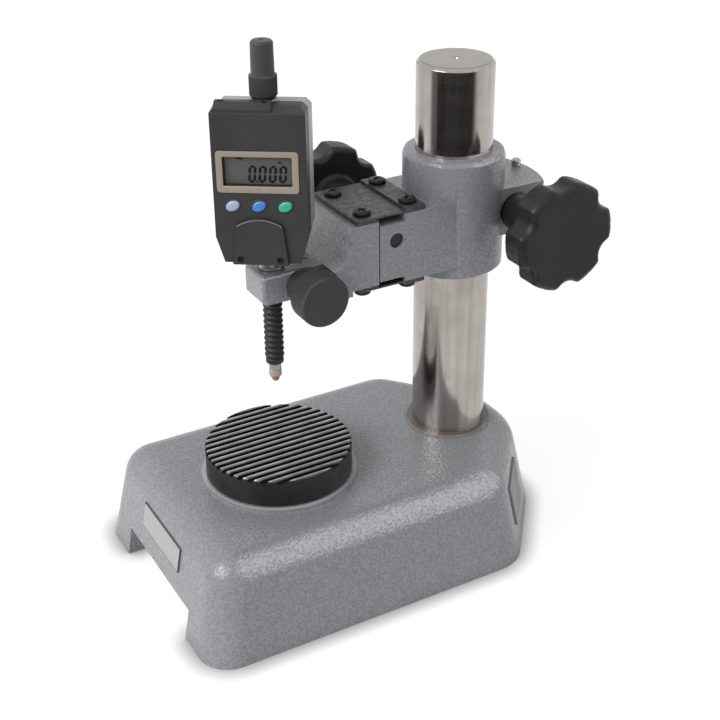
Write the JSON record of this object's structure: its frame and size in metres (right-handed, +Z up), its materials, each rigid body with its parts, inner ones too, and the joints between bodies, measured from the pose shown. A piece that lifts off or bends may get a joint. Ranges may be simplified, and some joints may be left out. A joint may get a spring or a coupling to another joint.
{
  "type": "bench comparator with digital indicator",
  "caption": "Slim digital indicator held by its stem over a round serrated anvil on a column stand with spring-leaf fine adjustment.",
  "frame": {"origin": "foot of the measuring axis on the plane that the base stands on", "axes": "+Z up along the measuring axis, -Y towards the front plate, +X towards the stem clamp"},
  "size_m": [0.1116, 0.1761, 0.2145],
  "materials": {
    "hammer_paint": "grey hammertone paint",
    "bright_plate": "brushed blank plate",
    "column_steel": "ground and polished steel",
    "screw_steel": "turned steel",
    "anvil_steel": "hardened blackened steel, serrated",
    "black_screw": "blackened steel",
    "leaf_steel": "blued spring steel",
    "knob_black": "satin black",
    "knurl_black": "knurled black",
    "case_front": "dark grey, fine grain",
    "case_rear": "light grey metallic paint",
    "gasket_rubber": "black",
    "bezel_metal": "warm grey",
    "lens_clear": "clear window",
    "lcd_glass": "grey-green display",
    "key_grey": "lilac grey",
    "key_blue": "blue",
    "key_green": "green",
    "board_green": "solder resist",
    "cell_metal": "nickel plated",
    "cap_grey": "dark anodised",
    "boot_rubber": "black bellows",
    "contact_pink": "pale ceramic",
    "brass": "turned"
  },
  "bodies": {
    "stand": {"base_casting": "hammer_paint", "nameplate": "bright_plate", "rear_plate": "bright_plate", "anvil": "anvil_steel", "anvil_screw": "black_screw", "column": "column_steel", "column_bolt": "black_screw"},
    "bracket": {"bracket_casting": "hammer_paint", "right_cotter": "screw_steel", "left_cotter": "screw_steel", "lug_pin": "column_steel", "upper_rear_strip": "leaf_steel", "lower_rear_strip": "leaf_steel", "rear_strip_screws": "black_screw", "upper_leaf": "leaf_steel", "lower_leaf": "leaf_steel"},
    "column_clamp": {"column_knob": "knob_black", "clamp_stud": "screw_steel"},
    "fine_adjuster": {"adjust_knob": "knob_black", "eccentric_shaft": "screw_steel"},
    "holder": {"holder_casting": "hammer_paint", "upper_front_strip": "leaf_steel", "lower_front_strip": "leaf_steel", "front_strip_screws": "black_screw"},
    "stem_clamp": {"stem_knob": "knurl_black", "stem_clamp_screw": "screw_steel"},
    "indicator": {"front_shell": "case_front", "case_gasket": "gasket_rubber", "rear_case": "case_rear", "back_plate": "case_rear", "back_plate_screws": "black_screw", "display_bezel": "bezel_metal", "display_lens": "lens_clear", "lcd_panel": "lcd_glass", "key_sheet": "gasket_rubber", "circuit_board": "board_green", "battery": "cell_metal", "battery_cover": "case_front", "battery_cover_screws": "black_screw", "socket_cover": "case_front", "socket_cover_screws": "black_screw", "stem": "column_steel", "stem_nut": "brass", "upper_bush": "screw_steel", "scale_head": "board_green", "return_spring": "screw_steel", "boot": "boot_rubber"},
    "measuring_spindle": {"spindle": "column_steel", "contact_point": "contact_pink", "lifting_cap": "cap_grey", "scale_carrier": "brass", "scale_strip": "board_green"},
    "mode_button": {"mode_key": "key_grey"},
    "set_button": {"set_key": "key_blue"},
    "power_button": {"power_key": "key_green"}
  },
  "joints": [
    {"name": "bracket_lift", "type": "slide", "parent": "stand", "child": "bracket", "axis": [0, 0, 1], "range_m": [-0.026, 0.033]},
    {"name": "column_clamp_turn", "type": "hinge", "parent": "bracket", "child": "column_clamp", "pos_m": [0.0353, 0.0986, 0.137], "axis": [1, 0, 0], "range_deg": [0, 360]},
    {"name": "fine_turn", "type": "hinge", "parent": "bracket", "child": "fine_adjuster", "pos_m": [-0.0308, 0.0438, 0.1365], "axis": [1, 0, 0], "range_deg": [-60, 60]},
    {"name": "fine_lift", "type": "slide", "parent": "bracket", "child": "holder", "axis": [0, 0, 1], "range_m": [-0.000433, 0.000433], "deforming": ["upper_leaf", "lower_leaf"]},
    {"name": "stem_clamp_turn", "type": "hinge", "parent": "holder", "child": "stem_clamp", "pos_m": [0.0165, 0.0088, 0.1233], "axis": [1, 0, 0], "range_deg": [0, 270]},
    {"name": "indicator_turn", "type": "hinge", "parent": "holder", "child": "indicator", "pos_m": [0, 0, 0.1236], "axis": [0, 0, 1], "range_deg": [-170, 170]},
    {"name": "spindle_lift", "type": "slide", "parent": "indicator", "child": "measuring_spindle", "axis": [0, 0, 1], "range_m": [0, 0.0127], "stiffness_N_per_m": 40, "springref_m": -0.03, "deforming": ["return_spring", "boot"]},
    {"name": "mode_press", "type": "slide", "parent": "indicator", "child": "mode_button", "axis": [-0.829, 0.5592, 0], "range_m": [0, 0.0005], "stiffness_N_per_m": 600, "springref_m": -0.0005},
    {"name": "set_press", "type": "slide", "parent": "indicator", "child": "set_button", "axis": [-0.829, 0.5592, 0], "range_m": [0, 0.0005], "stiffness_N_per_m": 600, "springref_m": -0.0005},
    {"name": "power_press", "type": "slide", "parent": "indicator", "child": "power_button", "axis": [-0.829, 0.5592, 0], "range_m": [0, 0.0005], "stiffness_N_per_m": 600, "springref_m": -0.0005}
  ],
  "couplings": [
    {"joint": "fine_turn", "follows": "fine_lift", "rad_per_m": 2418.4}
  ]
}
